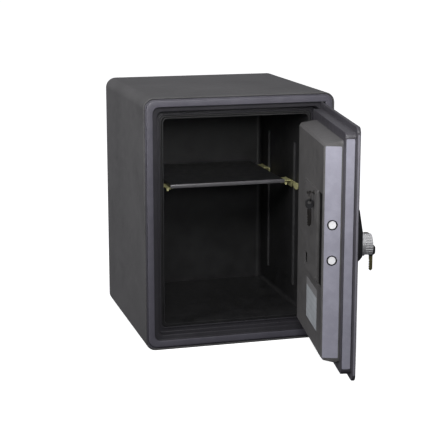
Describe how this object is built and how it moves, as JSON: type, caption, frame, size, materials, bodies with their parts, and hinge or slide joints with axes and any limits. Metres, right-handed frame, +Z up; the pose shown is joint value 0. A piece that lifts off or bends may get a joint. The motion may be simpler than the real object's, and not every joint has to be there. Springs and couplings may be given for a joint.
{
  "type": "fire safe",
  "caption": "Upright fire-resistant safe with a stepped door standing open, an adjustable shelf, twin locking bolts, a turning knob and a key lock with hanging keys.",
  "frame": {"origin": "centre of the cabinet base, on the surface it stands on", "axes": "+Z up, -Y out of the front opening, +X toward the hinge side"},
  "size_m": [0.4034, 0.7383, 0.522],
  "materials": {
    "shell_paint": "dark grey textured powder coat",
    "frame_paint": "grey-violet satin paint",
    "door_paint": "grey-violet satin paint",
    "liner_plastic": "black matte",
    "seal_rubber": "black",
    "fill": "cast fire insulation",
    "zinc_steel": "bright zinc-plated steel",
    "rail_steel": "dark satin",
    "brass": "satin brass",
    "chrome": "bright",
    "bolt_steel": "bright polished",
    "black_plastic": "black satin",
    "cover_plastic": "dark grey",
    "label_paper": "blank label",
    "spare_steel": "dull"
  },
  "bodies": {
    "cabinet": {"outer_shell": "shell_paint", "back_panel": "shell_paint", "front_frame": "frame_paint", "fire_insulation": "fill", "inner_liner": "liner_plastic", "fire_seal": "seal_rubber", "shelf_rails": "rail_steel", "shelf_clips": "brass", "bolt_keeper": "zinc_steel", "hinge_washers": "zinc_steel"},
    "shelf": {"shelf": "rail_steel"},
    "door": {"door_skin": "door_paint", "door_step": "door_paint", "door_plug": "door_paint", "door_insulation": "fill", "hinge_pins": "zinc_steel", "lock_case": "zinc_steel", "lock_cover": "cover_plastic", "cover_screws": "rail_steel", "label_plate": "label_paper", "key_hook": "spare_steel", "escutcheon": "black_plastic", "lock_housing": "chrome"},
    "knob": {"knob": "chrome", "knob_spindle": "zinc_steel"},
    "bolts": {"bolt_carrier": "zinc_steel", "locking_bolts": "bolt_steel"},
    "lock_key": {"key_cylinder": "brass", "door_key": "chrome"},
    "hanging_keys": {"key_ring": "chrome", "hanging_key_head": "black_plastic", "hanging_key_blade": "brass"},
    "spare_keys": {"spare_key_ring": "spare_steel", "spare_key_head": "black_plastic", "spare_key_blade": "spare_steel"}
  },
  "joints": [
    {"name": "door_hinge", "type": "hinge", "parent": "cabinet", "child": "door", "pos_m": [0.1763, -0.1915, 0.261], "axis": [0, 0, 1], "range_deg": [-80.5, 26]},
    {"name": "knob_turn", "type": "hinge", "parent": "door", "child": "knob", "pos_m": [0.13448, -0.46262, 0.266], "axis": [0.9863, -0.165, 0], "range_deg": [0, 90.5]},
    {"name": "bolt_slide", "type": "slide", "parent": "door", "child": "bolts", "axis": [-0.165, -0.9863, 0], "range_m": [0, 0.016]},
    {"name": "key_turn", "type": "hinge", "parent": "door", "child": "lock_key", "pos_m": [0.14207, -0.41725, 0.266], "axis": [0.9863, -0.165, 0], "range_deg": [0, 90]},
    {"name": "keys_swing", "type": "hinge", "parent": "lock_key", "child": "hanging_keys", "pos_m": [0.19237, -0.42566, 0.2645], "axis": [0.9863, -0.165, 0], "range_deg": [-25, 25]},
    {"name": "spare_swing", "type": "hinge", "parent": "door", "child": "spare_keys", "pos_m": [0.07191, -0.41423, 0.3604], "axis": [0.9863, -0.165, 0], "range_deg": [-25, 25]},
    {"name": "shelf_lift", "type": "slide", "parent": "cabinet", "child": "shelf", "axis": [0, 0, 1], "range_m": [0, 0.08]}
  ],
  "couplings": [
    {"joint": "knob_turn", "follows": "bolt_slide", "rad_per_m": 98.175}
  ]
}
